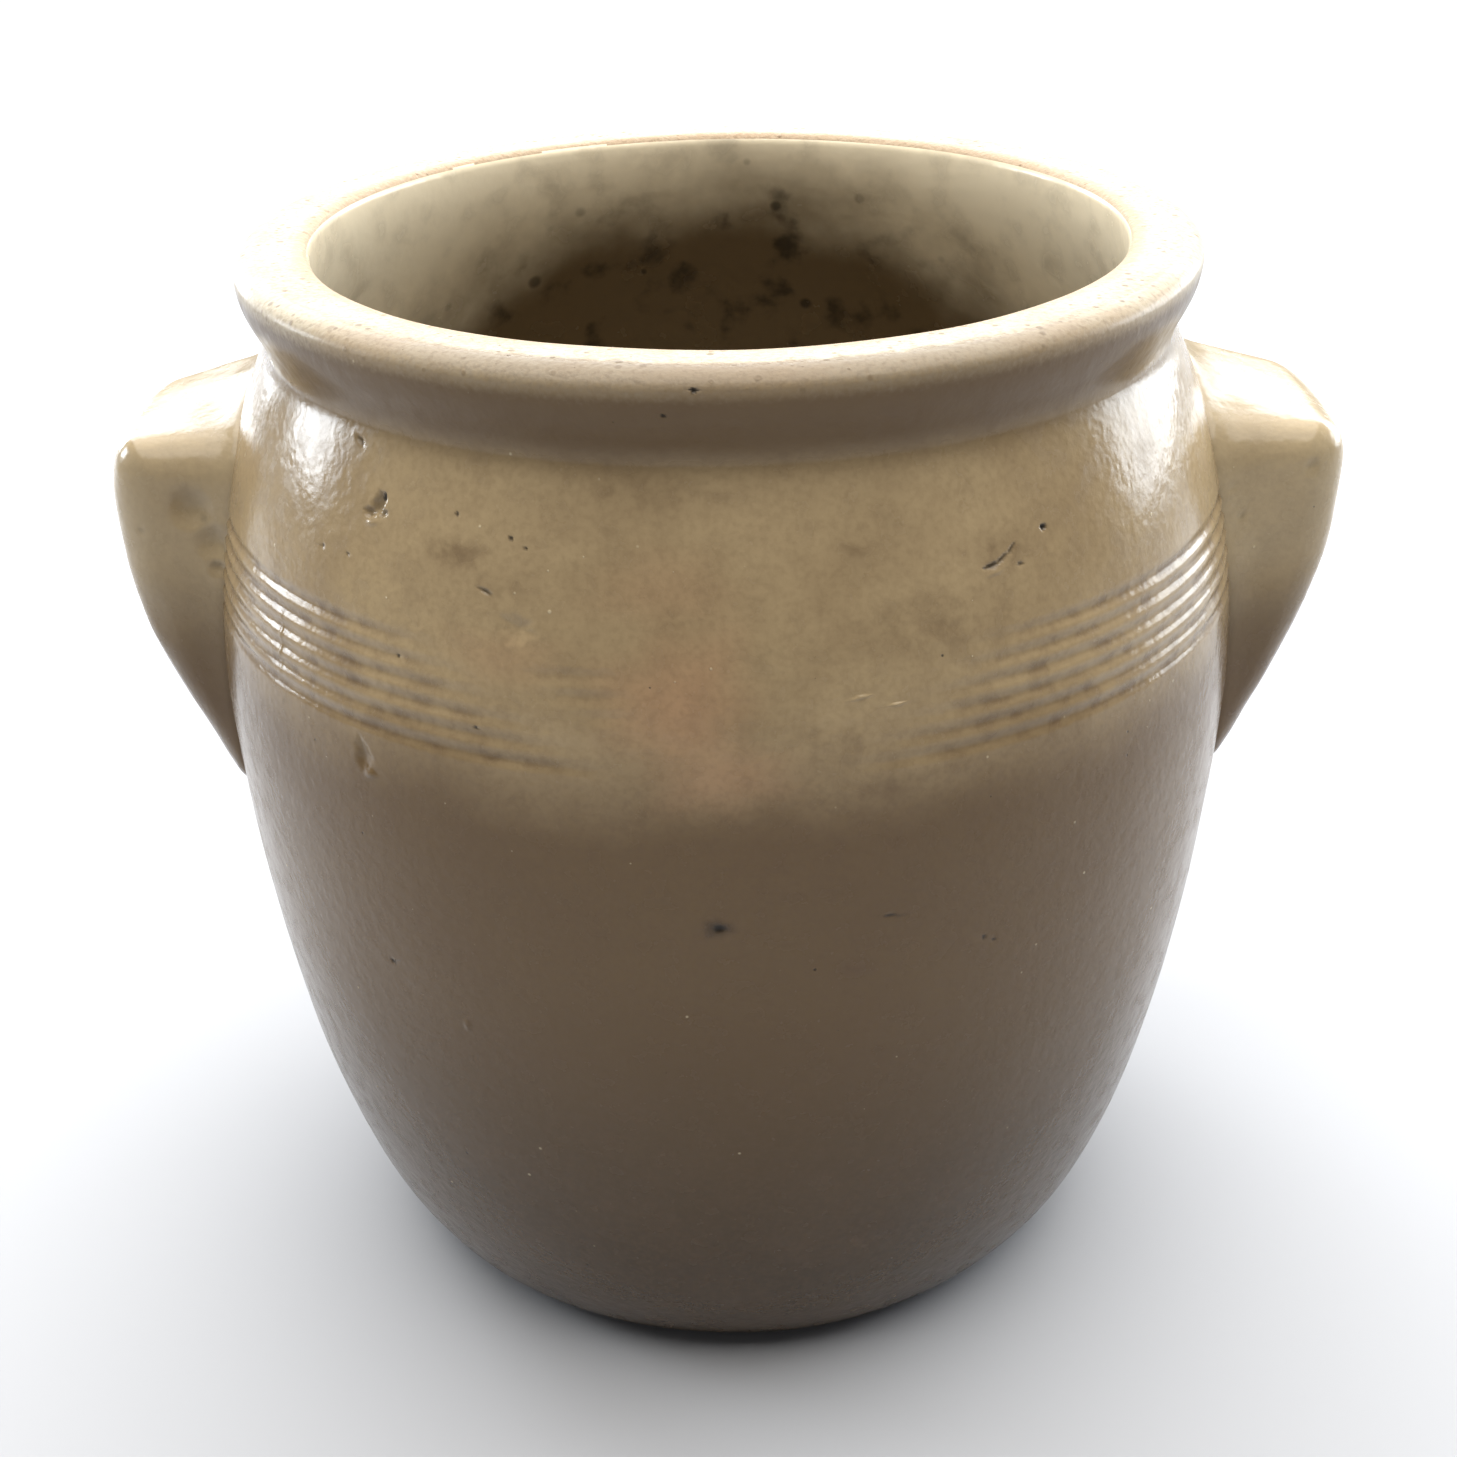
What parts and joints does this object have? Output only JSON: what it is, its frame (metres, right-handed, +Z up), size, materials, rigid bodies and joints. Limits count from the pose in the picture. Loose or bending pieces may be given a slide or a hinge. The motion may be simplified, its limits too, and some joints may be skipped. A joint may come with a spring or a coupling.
{
  "type": "stoneware crock",
  "caption": "Open stoneware crock with a broad belly, a combed band, a waisted neck, a rolled rim with a flat unglazed lip, and a lug handle luted to each side.",
  "frame": {"origin": "centre of the foot's underside, on the pot's axis", "axes": "+Z up along the pot's axis, +X towards the right lug, -Y towards the front"},
  "size_m": [0.324, 0.2764, 0.29],
  "materials": {
    "pot_glaze": "olive-beige glaze, satin to glossy, on stoneware",
    "lug_glaze": "olive-beige glaze, satin to glossy, on hand-shaped stoneware"
  },
  "bodies": {
    "root": {"crock_body": "pot_glaze", "left_lug_handle": "lug_glaze", "right_lug_handle": "lug_glaze"}
  },
  "joints": []
}
